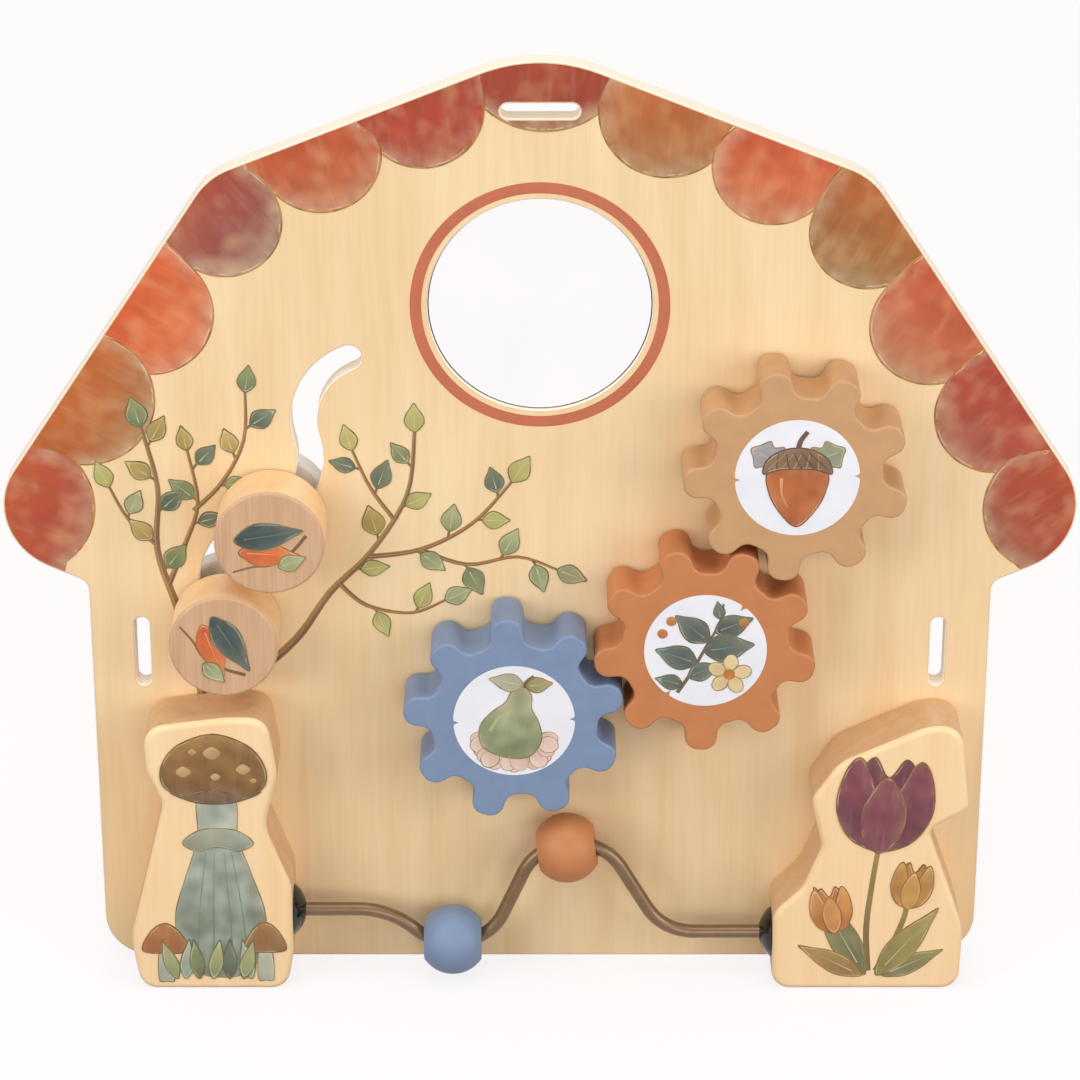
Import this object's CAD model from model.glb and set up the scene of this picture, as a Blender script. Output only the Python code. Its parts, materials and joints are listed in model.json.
"""Looks of a wooden activity panel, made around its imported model."""

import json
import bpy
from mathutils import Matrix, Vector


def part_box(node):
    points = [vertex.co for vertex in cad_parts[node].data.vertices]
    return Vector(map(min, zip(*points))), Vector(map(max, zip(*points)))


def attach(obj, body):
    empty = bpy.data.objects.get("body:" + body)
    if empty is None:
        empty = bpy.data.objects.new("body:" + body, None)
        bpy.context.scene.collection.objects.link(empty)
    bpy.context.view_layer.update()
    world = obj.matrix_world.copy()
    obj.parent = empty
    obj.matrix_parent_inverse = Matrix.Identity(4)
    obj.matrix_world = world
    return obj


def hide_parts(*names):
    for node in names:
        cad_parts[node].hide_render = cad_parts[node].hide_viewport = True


bl_info = {
    "name": "Wooden activity panel",
    "version": (1, 0, 0),
    "blender": (4, 5, 0),
    "location": "3D View > Sidebar > Activity panel",
    "description": "Makes the finished pieces of a wooden activity panel around its packed model",
    "category": "Object",
}

from math import acos, asin, atan2, ceil, cos, degrees, hypot, pi, radians, sin, sqrt, tan
from random import Random

import bmesh
import bpy
import numpy as np
from bpy.props import FloatProperty, FloatVectorProperty, PointerProperty
from mathutils import Vector, noise
from mathutils.geometry import delaunay_2d_cdt

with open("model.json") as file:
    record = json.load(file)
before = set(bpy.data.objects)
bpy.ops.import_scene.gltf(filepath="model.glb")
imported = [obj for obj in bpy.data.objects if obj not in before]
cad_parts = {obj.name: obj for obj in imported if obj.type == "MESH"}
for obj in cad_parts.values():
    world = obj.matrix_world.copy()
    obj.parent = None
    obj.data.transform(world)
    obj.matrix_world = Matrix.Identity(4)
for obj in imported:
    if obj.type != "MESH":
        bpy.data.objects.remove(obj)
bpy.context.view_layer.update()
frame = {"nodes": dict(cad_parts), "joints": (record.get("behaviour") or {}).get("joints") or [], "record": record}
joint_places = {joint["name"]: Vector(joint["pos_m"]) for joint in frame["joints"]}

MM = 0.001
GAP = 0.3 * MM  # play between a hole's wall and what sits in it
SCREW_HOLE = 2.3 * MM  # radius of the holes for the screws
TEETH = 9
GEARS = ("tan", "terracotta", "blue")
SCREWS = ("left_lower", "left_upper", "right_lower", "right_upper")

# The right half of the board's corners in millimetres: x, z and the corner's round
HOUSE_CORNERS = ((161.2, 0, 17), (161.2, 153.1, 5), (202.5, 171.2, 25.5), (113.6, 305.4, 25), (0, 350.5, 55))
# The foot blocks' corners and their rounds, as shares of a block's width, its height, and its width
LEFT_FOOT_SHARES = (
    (0.045, 0.00, 0.12), (0.955, 0.00, 0.12), (1.00, 0.135, 0.50), (1.00, 0.385, 0.25), (0.845, 0.605, 0.25),
    (0.935, 0.79, 0.35), (0.875, 1.00, 0.13), (0.62, 1.00, 0.40), (0.12, 0.965, 0.14), (0.13, 0.81, 0.16),
    (0.225, 0.69, 0.14), (0.00, 0.21, 0.30), (0.00, 0.14, 0.30),
)
RIGHT_FOOT_SHARES = (
    (0.00, 0.00, 0.10), (0.99, 0.00, 0.10), (1.00, 0.235, 0.45), (0.797, 0.612, 0.055), (1.00, 0.69, 0.06),
    (0.945, 1.00, 0.12), (0.77, 1.00, 0.30), (0.32, 0.865, 0.22), (0.18, 0.726, 0.11), (0.245, 0.55, 0.12),
    (0.152, 0.393, 0.17), (0.00, 0.293, 0.12),
)
# Strap slots: the middle in millimetres, and whether the slot stands upright
STRAP_SLOTS = ((0, 328.624, False), (-142.8, 125.6, True), (142.8, 125.6, True))

# Arcs of the slider track, from its lower end: centre and radius in millimetres, start and end angle in
# degrees, and 1 where the track's left side is far from the centre, or -1 where it is near
TRACK_ARCS = (
    ((-92.418, 152.624), 24.4, -125.0, -253.0, 1),
    ((-107.3, 201.3), 26.5, -73.0, 15.7, -1),
    ((-57.336, 215.344), 25.4, 195.7, 111.3, 1),
)

# Roof tiles, in millimetres: marks lie on the roof's edge, cusps where two tiles part, and tips furthest from
# the edge
ROOF_MARKS = (
    (-168.4, 160.9), (-176.7, 204.9), (-150.9, 247.5), (-127.7, 281.3), (-99.8, 308.7), (-61.0, 323.7),
    (-20.2, 339.6), (22.9, 339.6), (66.1, 323.0), (102.2, 308.4), (130.7, 276.9), (153.6, 240.8),
    (177.8, 203.8), (171.0, 159.0),
)
ROOF_CUSPS = (
    (-168.4, 160.9), (-161.9, 198.4), (-135.9, 232.5), (-118.8, 271.4), (-90.5, 298.7), (-53.7, 313.0),
    (-18.6, 329.0), (19.7, 327.3), (58.4, 310.1), (93.5, 292.7), (119.6, 265.3), (141.3, 229.4),
    (160.3, 195.3), (171.0, 159.0),
)
ROOF_TIPS = (
    (-157.6, 178.4), (-137.4, 211.8), (-113.7, 249.3), (-94.6, 274.4), (-73.6, 292.2), (-36.8, 308.4),
    (0, 321.2), (41.9, 304.8), (78.8, 287.8), (103.5, 266.7), (123.7, 232.5), (146.0, 200.4), (159.8, 169.5),
)
# Each tile's colours from the roof's edge to its tip
ROOF_TONES = (
    ("c05a30", "b24c30", "b37056"), ("c06428", "b66a34", "ac8256"), ("d8622f", "dc6f3c", "da8258"),
    ("aa4a32", "985044", "a27c68"), ("bb5226", "bd5e36", "c88258"), ("a8401e", "b0422a", "a85e42"),
    ("a03a1c", "9e3e22", "9e6644"), ("ba6228", "b26a34", "a87a4a"), ("ca562a", "ce683e", "c87e54"),
    ("b46024", "a4662e", "9c7848"), ("c2582e", "c46642", "b8805a"), ("ac4028", "ae4a34", "ac6a4e"),
    ("b44e26", "ac482e", "a06046"),
)


def srgb(code):
    """Return the linear colour of an sRGB hex code."""
    channels = [int(code[i:i + 2], 16) / 255 for i in (0, 2, 4)]
    return (*[c / 12.92 if c <= 0.04045 else ((c + 0.055) / 1.055) ** 2.4 for c in channels], 1.0)


def size(name, description, millimetres):
    """Return a length property with a default in millimetres."""
    return FloatProperty(name=name, description=description, default=millimetres * MM, min=0, precision=5,
                         unit="LENGTH")


def tint(name, description, code):
    """Return a colour property with an sRGB hex default."""
    return FloatVectorProperty(name=name, description=description, default=srgb(code), size=4, min=0, max=1,
                               subtype="COLOR")


class BoardLook(bpy.types.PropertyGroup):
    """Sizes and colours of the board and mirror."""

    edge: size("Edge round", "Round on the board's rims", 0.6)
    ply: size("Ply", "Thickness of one layer of the plywood", 1.3)
    slot_length: size("Strap slot length", "Length of a strap slot", 27.0)
    slot_width: size("Strap slot width", "Width of a strap slot", 5.3)
    track_width: size("Track width", "Width of the slider track", 9.0)
    ring_inner: size("Ring inner radius", "Inner radius of the painted ring around the mirror", 41.1)
    ring_outer: size("Ring outer radius", "Outer radius of the painted ring around the mirror", 45.1)
    veneer: tint("Veneer", "Light tone of the birch face", "f7dcb0")
    veneer_dark: tint("Veneer grain", "Dark tone of the birch face", "e9c48f")
    edge_light: tint("Edge", "Tone of the board's cut edge", "fff6e8")
    ring_paint: tint("Ring paint", "Paint of the ring around the mirror", "c66e4e")


class GearLook(bpy.types.PropertyGroup):
    """Sizes and colours of the gears."""

    tip_radius: size("Tip radius", "Radius over the tooth tips", 39.6)
    tooth_height: size("Tooth height", "Height of a tooth", 9.4)
    tooth_base: size("Tooth base", "Width of a tooth at its base", 11.975)
    tooth_taper: size("Tooth taper", "How much narrower a tooth is at its tip", 1.0)
    tip_round: size("Tip round", "Round at a tooth's tip", 5.0)
    root_round: size("Root round", "Round between two teeth", 4.5)
    edge: size("Edge round", "Round on a gear's rims", 0.9)
    print_radius: size("Print radius", "Radius of the printed disc", 21.7)
    tan: tint("Tan", "Paint of the upper gear", "cd9e70")
    terracotta: tint("Terracotta", "Paint of the middle gear and the upper bead", "c9804e")
    blue: tint("Blue", "Paint of the lower gear and the lower bead", "7f93b3")


class WoodLook(bpy.types.PropertyGroup):
    """Sizes and colours of the sliders, feet and turned parts."""

    disc_edge: size("Disc edge round", "Round on the slider discs' rims", 1.2)
    foot_edge: size("Foot edge round", "Round on the foot blocks' rims", 2.2)
    wood: tint("Wood", "Light tone of the solid wood", "f8d6a6")
    wood_dark: tint("Wood grain", "Dark tone of the solid wood", "eebf88")
    disc_face: tint("Disc face", "Stain on the front of the slider discs", "dab592")


class WireLook(bpy.types.PropertyGroup):
    """Sizes and colours of the bent wire."""

    radius: size("Wire radius", "Radius of the wire", 2.5)
    bend: size("Bend radius", "Radius of the wire's bends", 20.0)
    entry_bend: size("Entry bend radius", "Radius of the first bend on the left", 30.0)
    lacquer: tint("Lacquer", "Bronze lacquer on the wire", "80613f")


class PanelLook(bpy.types.PropertyGroup):
    """All that a user may change."""

    board: PointerProperty(type=BoardLook)
    gears: PointerProperty(type=GearLook)
    wood: PointerProperty(type=WoodLook)
    wire: PointerProperty(type=WireLook)


# Outlines, in the front plane

def polar(center, radius, angle):
    """Return the point at an angle in degrees on a circle."""
    return (center[0] + radius * cos(radians(angle)), center[1] + radius * sin(radians(angle)))


def arc(center, radius, start, end, step=4.0):
    """Return points from one angle to another, both included."""
    count = max(1, ceil(round(abs(end - start) / step, 3)))
    return [polar(center, radius, start + (end - start) * i / count) for i in range(count + 1)]


def circle(center, radius, step=4.0):
    """Return a closed circle."""
    return arc(center, radius, 0, 360, step)[:-1]


def spun(point, angle, center=(0, 0)):
    """Turn a point about the origin by an angle in degrees, and move it to a centre."""
    return polar(center, hypot(*point), degrees(atan2(point[1], point[0])) + angle)


def rounded(corners, step=4.0):
    """Return an outline of (x, z, radius) corners with each corner turned into an arc that fits its sides."""
    spots = [Vector(corner[:2]) for corner in corners]
    sides = [(spots[i - 1] - spot, spots[(i + 1) % len(spots)] - spot) for i, spot in enumerate(spots)]
    halves = [before.angle(after) / 2 for before, after in sides]
    reaches = [corner[2] / tan(half) for corner, half in zip(corners, halves)]
    points = []
    for i, here in enumerate(spots):
        wanted = reaches[i]
        if wanted == 0:
            points.append(tuple(here))
            continue
        before, after = sides[i]
        room_before = before.length * wanted / (wanted + reaches[i - 1])
        room_after = after.length * wanted / (wanted + reaches[(i + 1) % len(spots)])
        reach = min(wanted, room_before, room_after)
        fitted = reach * tan(halves[i])
        middle = here + (before.normalized() + after.normalized()).normalized() * fitted / sin(halves[i])
        first = here + before.normalized() * reach - middle
        last = here + after.normalized() * reach - middle
        start = degrees(atan2(first.y, first.x))
        turn = (degrees(atan2(last.y, last.x)) - start + 180) % 360 - 180
        points += arc(middle, fitted, start, start + turn, step)
    return points


def tidy_outline(outline):
    """Drop doubled points and make the outline run counter-clockwise."""
    kept = [(x, z) for i, (x, z) in enumerate(outline)
            if hypot(x - outline[i - 1][0], z - outline[i - 1][1]) > 0.01 * MM]
    area = sum(a[0] * b[1] - b[0] * a[1] for a, b in zip(kept, kept[1:] + kept[:1]))
    return kept if area > 0 else kept[::-1]


def grown(outline, growth):
    """Move a counter-clockwise outline outwards."""
    points = []
    for i, (x, z) in enumerate(outline):
        before = Vector((x - outline[i - 1][0], z - outline[i - 1][1])).normalized()
        after = outline[(i + 1) % len(outline)]
        after = Vector((after[0] - x, after[1] - z)).normalized()
        along = (before + after).normalized()
        reach = growth / max(0.5, along.dot(before))
        points.append((x + along.y * reach, z - along.x * reach))
    return points


def in_metres(points):
    """Turn points in millimetres into metres."""
    return [tuple(value * MM for value in point) for point in points]


def fitted(outline, low, high):
    """Stretch an outline so that it just fills a box's width and height."""
    xs, zs = zip(*outline)
    left, foot = min(xs), min(zs)
    wide, tall = (high.x - low.x) / (max(xs) - left), (high.z - low.z) / (max(zs) - foot)
    return [(low.x + (x - left) * wide, low.z + (z - foot) * tall) for x, z in outline]


def house_outline():
    """Return the board's outline."""
    right = in_metres(HOUSE_CORNERS)
    left = [(-x, z, radius) for x, z, radius in reversed(right[:-1])]
    return fitted(rounded(right + left), *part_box("house_board"))


def slot_outline(look, x, z, upright):
    """Return the outline of a strap slot whose middle is given in millimetres."""
    half = look.slot_width / 2
    end = look.slot_length / 2 - half
    points = arc((end, 0), half, -90, 90, 10) + arc((-end, 0), half, 90, 270, 10)
    if upright:
        points = [(-up, along) for along, up in points]
    return [(x * MM + along, z * MM + up) for along, up in points]


def track_outline(half_width):
    """Return the outline of the S-shaped track."""
    sides = [], []
    for center, radius, start, end, sense in TRACK_ARCS:
        center = tuple(value * MM for value in center)
        for side, shift in zip(sides, (half_width, -half_width)):
            side.extend(arc(center, radius * MM + sense * shift, start, end)[:-1])
    lower, _, upper = TRACK_ARCS
    near = polar(in_metres([lower[0]])[0], lower[1] * MM, lower[2])
    far = polar(in_metres([upper[0]])[0], upper[1] * MM, upper[3])
    far_cap = arc(far, half_width, upper[3], upper[3] - 180, 10)
    near_cap = arc(near, half_width, lower[2] + 180, lower[2], 10)
    return sides[0] + far_cap + sides[1][::-1] + near_cap


def gear_outline(look):
    """Return a gear's outline with one tooth on +X."""
    base = look.tooth_base / 2
    tip = base - look.tooth_taper / 2
    root_radius = look.tip_radius - look.tooth_height
    base_reach = sqrt(root_radius ** 2 - base ** 2)
    tooth = (
        (base_reach, -base, look.root_round), (look.tip_radius, -tip, look.tip_round),
        (look.tip_radius, tip, look.tip_round), (base_reach, base, look.root_round),
    )
    corners = [(*spun((x, z), 360 / TEETH * i), radius) for i in range(TEETH) for x, z, radius in tooth]
    return rounded(corners, 7.5)


def foot_outline(shares, low, high):
    """Return a foot block's outline between its lowest and highest corner."""
    width, height = high.x - low.x, high.z - low.z
    corners = [(low.x + x * width, low.z + z * height, radius * width) for x, z, radius in shares]
    return fitted(rounded(corners, 5), low, high)


def smooth_path(points, closed=False, steps=6):
    """Return a Catmull-Rom curve through points."""
    count = len(points)
    spots = [Vector(p) for p in points]
    path = []
    for i in range(count if closed else count - 1):
        near = [i + k for k in (-1, 0, 1, 2)]
        a, b, c, d = (spots[k % count if closed else min(max(k, 0), count - 1)] for k in near)
        for t in (j / steps for j in range(steps)):
            spot = 2 * b + (c - a) * t + (2 * a - 5 * b + 4 * c - d) * t ** 2
            path.append(tuple((spot + (3 * b - a - 3 * c + d) * t ** 3) / 2))
    if not closed:
        path.append(tuple(spots[-1]))
    return path


def three_point_arc(first, middle, last):
    """Return points on the arc through three points, from the first to the last."""
    (ax, az), (bx, bz), (cx, cz) = first, middle, last
    turn = 2 * (ax * (bz - cz) + bx * (cz - az) + cx * (az - bz))
    a, b, c = ax * ax + az * az, bx * bx + bz * bz, cx * cx + cz * cz
    center = ((a * (bz - cz) + b * (cz - az) + c * (az - bz)) / turn,
              (a * (cx - bx) + b * (ax - cx) + c * (bx - ax)) / turn)
    angles = [degrees(atan2(z - center[1], x - center[0])) for x, z in (first, middle, last)]
    radius = hypot(ax - center[0], az - center[1])
    sweep = (angles[2] - angles[0]) % 360
    if (angles[1] - angles[0]) % 360 > sweep:
        sweep -= 360
    return arc(center, radius, angles[0], angles[0] + sweep, 5)


# Shapes

def middle_of(node):
    """Return the middle of a node's box."""
    low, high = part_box(node)
    return (low + high) / 2


def round_size(node):
    """Return a round node's radius, and where its front and its back lie on Y."""
    low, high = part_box(node)
    return (high.x - low.x) / 2, low.y, high.y


def wall(shape, outline, levels):
    """Add an outline's wall through (growth, y) levels, and return its first and last ring."""
    rings = [[shape.verts.new((x, y, z)) for x, z in grown(outline, growth)] for growth, y in levels]
    for near, far in zip(rings, rings[1:]):
        for i in range(len(near)):
            shape.faces.new((near[i - 1], near[i], far[i], far[i - 1]))
    return rings[0], rings[-1]


def round_rims(sign, edge, y_front, y_back, steps=4):
    """Return the levels of a wall with quarter-round rims: sign -1 for an outer wall, 1 for a hole."""
    quarter = [pi / 2 * i / steps for i in range(steps + 1)]
    front = [(sign * edge * (1 - sin(a)), y_front + edge * (1 - cos(a))) for a in quarter]
    return front + [(growth, y_front + y_back - y) for growth, y in reversed(front)]


def slab(walls):
    """Build a flat piece from (outline, levels, reach) walls, which reach through or only from one face."""
    shape = bmesh.new()
    fronts, backs = [], []
    for outline, levels, reach in walls:
        near, far = wall(shape, tidy_outline(outline), levels)
        if reach == "back":
            shape.faces.new(near)
        else:
            fronts.append(near)
        if reach == "front":
            shape.faces.new(far)
        else:
            backs.append(far)
    for rings in (fronts, backs):
        edges = [shape.edges.get((ring[i - 1], ring[i])) for ring in rings for i in range(len(ring))]
        bmesh.ops.triangle_fill(shape, use_beauty=True, edges=edges)
    return shape


def lathe(profile, axis="Y", segments=96):
    """Spin an (along, radius) profile about an axis; its ends lie on the axis or close a ring."""
    shape = bmesh.new()
    rings = []
    on_axis = 1e-7
    for along, radius in profile:
        count = segments if radius > on_axis else 1
        turns = [2 * pi * k / segments for k in range(count)]
        if axis == "Y":
            rings.append([shape.verts.new((radius * cos(t), along, radius * sin(t))) for t in turns])
        else:
            rings.append([shape.verts.new((along, radius * cos(t), radius * sin(t))) for t in turns])
    pairs = list(zip(rings, rings[1:]))
    if all(radius > on_axis for _, radius in profile):
        pairs.append((rings[-1], rings[0]))
    for low, high in pairs:
        for k in range(segments):
            corners = [low[k % len(low)], low[(k + 1) % len(low)]]
            corners += [high[(k + 1) % len(high)], high[k % len(high)]]
            shape.faces.new(list(dict.fromkeys(corners)))
    return shape


def disc_profile(radius, y_front, y_back, edge, bore=0.0, bore_front=None, bore_back=None):
    """Return a disc's profile with round rims and a blind bore from its front or back."""
    front = [(y_front, 0, 0)]
    back = [(y_back, 0, 0)]
    if bore_front is not None:
        front = [(bore_front, 0, 0), (bore_front, bore, 0), (y_front, bore, 0)]
    if bore_back is not None:
        back = [(y_back, bore, 0), (bore_back, bore, 0), (bore_back, 0, 0)]
    corners = front + [(y_front, radius, edge), (y_back, radius, edge)] + back
    return rounded(corners, 15)


def add_piece(name, shape, finishes, body, stands_for=(), place=(0, 0, 0), sharp=35):
    """Put a shape in the scene as a finished piece that rides on a body."""
    bmesh.ops.recalc_face_normals(shape, faces=shape.faces)
    mesh = bpy.data.meshes.new(name)
    shape.to_mesh(mesh)
    shape.free()
    for finish in finishes:
        mesh.materials.append(bpy.data.materials[finish])
    mesh.shade_smooth()
    mesh.set_sharp_from_angle(angle=radians(sharp))
    item = bpy.data.objects.new(name, mesh)
    item.location = place
    bpy.context.scene.collection.objects.link(item)
    flat = item.modifiers.new("flat_faces", "WEIGHTED_NORMAL")
    flat.keep_sharp = True
    flat.weight = 100
    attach(item, body)
    if stands_for:
        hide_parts(*stands_for)
    return item


def mark_walls(shape, index, lean=0.999):
    """Give the walls another finish: the faces that lean to the front or back less than a limit."""
    shape.normal_update()
    for face in shape.faces:
        if abs(face.normal.y) < lean:
            face.material_index = index


# Finishes

def add_node(tree, kind, inputs=None, **settings):
    """Add a shader node with its settings, and fill its inputs with values or links."""
    made = tree.nodes.new("ShaderNode" + kind)
    for name, value in settings.items():
        setattr(made, name, value)
    for socket, value in (inputs or {}).items():
        if isinstance(value, bpy.types.NodeSocket):
            tree.links.new(value, made.inputs[socket])
        else:
            made.inputs[socket].default_value = value
    return made


def new_finish(name, roughness, **sockets):
    """Return a new material's tree and its shader, with even values on the shader's own sockets."""
    material = bpy.data.materials.new(name)
    material.use_nodes = True
    shader = material.node_tree.nodes["Principled BSDF"]
    shader.inputs["Roughness"].default_value = roughness
    for socket, value in sockets.items():
        shader.inputs[socket.replace("_", " ")].default_value = value
    return material.node_tree, shader


def figure(tree, width, length, detail=2.0, low=0.3, high=0.7, strength=1.0, distortion=0.0):
    """Return streaks of a width across X and Y and a length along Z, in millimetres, from 0 to a strength."""
    where = add_node(tree, "TexCoord").outputs["Object"]
    scale = (1 / (width * MM), 1 / (width * MM), 1 / (length * MM))
    stretched = add_node(tree, "Mapping", {"Vector": where, "Scale": scale}).outputs[0]
    streaks = add_node(tree, "TexNoise", {
        "Vector": stretched, "Scale": 1.0, "Detail": detail, "Distortion": distortion}).outputs[0]
    return add_node(tree, "MapRange", {0: streaks, 1: low, 2: high, 4: strength}).outputs[0]


def coat(tree, shader, colour, coats, relief=None, depth=0.0):
    """Lay coats of (share, colour, blend) over a colour, and let a relief raise the surface by a depth."""
    for share, over, *blend in coats:
        inputs = {0: share, 6: colour, 7: over}
        colour = add_node(tree, "Mix", inputs, data_type="RGBA", blend_type=(blend or ["MIX"])[0]).outputs[2]
    tree.links.new(colour, shader.inputs["Base Color"])
    if relief is not None:
        bump = add_node(tree, "Bump", {"Height": relief, "Distance": depth})
        tree.links.new(bump.outputs[0], shader.inputs["Normal"])


def wood_finish(name, light, dark, grain, band, roughness, fineness=0.4, specks=0.0):
    """Make lacquered wood with upright grain, broad bands and maybe dark specks, sized in millimetres."""
    tree, shader = new_finish(name, roughness)
    fine = figure(tree, grain, 50 * grain, 3, 0.35)
    broad = figure(tree, band, 7 * band, 3, strength=0.6, distortion=0.6)
    both = add_node(tree, "Math", {0: fine, 1: fineness, 2: broad}, operation="MULTIPLY_ADD").outputs[0]
    coats = [(both, dark)]
    if specks:
        where = add_node(tree, "TexCoord").outputs["Object"]
        cells = add_node(tree, "TexVoronoi", {"Vector": where, "Scale": 1 / (specks * MM)})
        distance, number = cells.outputs["Distance"], cells.outputs["Color"]
        near = add_node(tree, "MapRange", {0: distance, 1: 0.03, 2: 0.015, 4: 0.45}).outputs[0]
        few = add_node(tree, "Math", {0: number, 1: 0.62}, operation="GREATER_THAN").outputs[0]
        spots = add_node(tree, "Math", {0: near, 1: few}, operation="MULTIPLY").outputs[0]
        coats.append((spots, srgb("8a5a34")))
    coat(tree, shader, light, coats, fine, 0.008 * MM)


def soft_finish(name, roughness, first, second, patches, **sockets):
    """Make an almost even finish of two near tones in patches of a width, a length and maybe a detail."""
    tree, shader = new_finish(name, roughness, **sockets)
    coat(tree, shader, first, [(figure(tree, *patches), second)])


def darker(colour, share):
    """Return a colour with its light cut to a share."""
    return (*[value * share for value in colour[:3]], 1.0)


def matt_paint(name, colour, roughness):
    """Make sprayed matt paint on sanded wood: even, with a slight mottle and a fine eggshell surface."""
    tree, shader = new_finish(name, roughness)
    eggshell = figure(tree, 0.7, 0.7, low=0, high=1)
    coat(tree, shader, colour, [(figure(tree, 9, 9, 3), darker(colour, 0.9))], eggshell, 0.012 * MM)


def make_board_finishes(look):
    """Make the plywood's face and edge finishes and the ring's paint."""
    # Rotary-cut birch veneer, sanded and matt lacquered: pale, with faint upright grain and soft wide bands.
    # Birch pores are too fine to show, so the grain is 0.9 mm wide. Pin knots are about 1 mm, 25 mm apart.
    wood_finish("birch_veneer_matt_lacquered", look.veneer, look.veneer_dark, 0.9, 14, 0.5, 0.16, 25)
    # Sawn and sanded plywood edge: light and slightly darker layers with thin glue lines between.
    tree, shader = new_finish("birch_plywood_edge_sanded", 0.6)
    depth = add_node(tree, "SeparateXYZ", {0: add_node(tree, "TexCoord").outputs["Object"]}).outputs["Y"]
    low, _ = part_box("house_board")
    layer = add_node(tree, "Math", {0: depth, 1: low.y}, operation="SUBTRACT").outputs[0]
    layer = add_node(tree, "Math", {0: layer, 1: look.ply}, operation="DIVIDE").outputs[0]
    share = add_node(tree, "Math", {0: layer}, operation="FRACT").outputs[0]
    wood = add_node(tree, "Math", {0: share, 1: 0.5, 2: 0.44}, operation="COMPARE").outputs[0]
    glue = add_node(tree, "Math", {0: 1.0, 1: wood}, operation="SUBTRACT").outputs[0]
    parity = add_node(tree, "Math", {0: layer, 1: 2.0}, operation="MODULO").outputs[0]
    parity = add_node(tree, "Math", {0: parity, 1: 1.0}, operation="GREATER_THAN").outputs[0]
    fibre = figure(tree, 0.5, 0.5, 3, high=0.75, strength=0.25)
    coat(tree, shader, look.edge_light, [
        (parity, srgb("f6e6cc")), (glue, srgb("dcc09a")), (fibre, srgb("e6cfa6"))])
    matt_paint("ring_paint_screen_printed", look.ring_paint, 0.55)


def make_paint_finishes(look):
    """Make the gears' and beads' paints and the printed white."""
    for label in GEARS:
        matt_paint("acrylic_paint_matt_" + label, getattr(look, label), 0.5)
    # Screen-printed white under the motifs: smooth, even and a little cool.
    soft_finish("screen_print_white", 0.45, srgb("f4f4f8"), srgb("ecedf3"), (14, 14))


def make_gouache():
    """Make the hand-painted finish of roof, leaves and motifs from the values kept on their points."""
    # Gouache under matt lacquer: soft cloudy washes, faint brush marks, and a thin broken ochre outline.
    tree, shader = new_finish("gouache_matt_lacquered", 0.55)
    painted = add_node(tree, "Attribute", attribute_name="paint")
    paint, wash = painted.outputs["Color"], painted.outputs["Alpha"]
    ink = add_node(tree, "Attribute", attribute_name="ink").outputs["Color"]
    rim = add_node(tree, "Attribute", attribute_name="rim").outputs["Fac"]
    flow = add_node(tree, "Attribute", attribute_name="flow").outputs["Vector"]

    def marks(across, along, low, high, strength, detail=2.0, shift=0.0):
        """Return brush marks of a width and a length in millimetres, from 0 to a strength."""
        scale = (1 / (across * MM), 1 / (along * MM), 1 / (along * MM))
        place = {"Vector": flow, "Location": (shift, shift, shift), "Scale": scale}
        stretched = add_node(tree, "Mapping", place).outputs[0]
        noisy = add_node(tree, "TexNoise", {"Vector": stretched, "Scale": 1.0, "Detail": detail}).outputs[0]
        return add_node(tree, "MapRange", {0: noisy, 1: low, 2: high, 4: strength}).outputs[0]

    # Brush hairs leave marks about 0.7 mm wide and 9 mm long; clouds of wash are about 12 mm wide.
    muted = {0: wash, 6: srgb("c8bcae"), 7: srgb("cba488")}
    muted = add_node(tree, "Mix", muted, data_type="RGBA").outputs[2]
    clouds = marks(12, 14, 0.35, 0.75, 0.36, 1.5)
    warm = marks(9, 12, 0.5, 0.8, 0.3, 1.5, 5.0)
    warm = add_node(tree, "Math", {0: warm, 1: wash}, operation="MULTIPLY").outputs[0]
    hairs, streaks = marks(0.7, 9, 0.35, 0.75, 0.1, 1.0), marks(2.5, 16, 0.55, 0.85, 0.08, 1.0, 9.0)
    # The wash pales towards the outline, and the outline wavers by about 0.2 mm.
    pale = add_node(tree, "MapRange", {0: rim, 1: 7 * MM, 2: 1.2 * MM, 4: wash}).outputs[0]
    uneven = marks(6, 8, 0.3, 0.7, 0.42, 2.0, 3.0)
    pale = add_node(tree, "Math", {0: pale, 1: uneven}, operation="MULTIPLY").outputs[0]
    waver = add_node(tree, "Math", {0: marks(5, 6, 0.2, 0.8, 0.5 * MM), 1: rim}, operation="ADD").outputs[0]
    glint = add_node(tree, "Math", {0: waver, 1: 1.25 * MM, 2: 0.22 * MM}, operation="COMPARE").outputs[0]
    broken = marks(4, 14, 0.5, 0.6, 0.4, 2.0, 7.0)
    glint = add_node(tree, "Math", {0: glint, 1: broken}, operation="MULTIPLY").outputs[0]
    line = add_node(tree, "MapRange", {0: waver, 1: 0.85 * MM, 2: 0.6 * MM}).outputs[0]
    thin = {0: marks(5, 9, 0.45, 0.6, 1.0, 2.0, 11.0), 6: ink, 7: srgb("b9b096")}
    shade = add_node(tree, "Mix", thin, data_type="RGBA", blend_type="MULTIPLY").outputs[2]
    coat(tree, shader, paint, [
        (clouds, muted, "MULTIPLY"), (warm, srgb("efbd88")), (hairs, srgb("c0a898"), "MULTIPLY"),
        (streaks, srgb("f4d8b8")), (pale, srgb("d9c4a4")), (glint, srgb("f2dfc0")), (line, shade),
    ], marks(0.6, 8, 0.3, 0.7, 1.0), 0.008 * MM)


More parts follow.
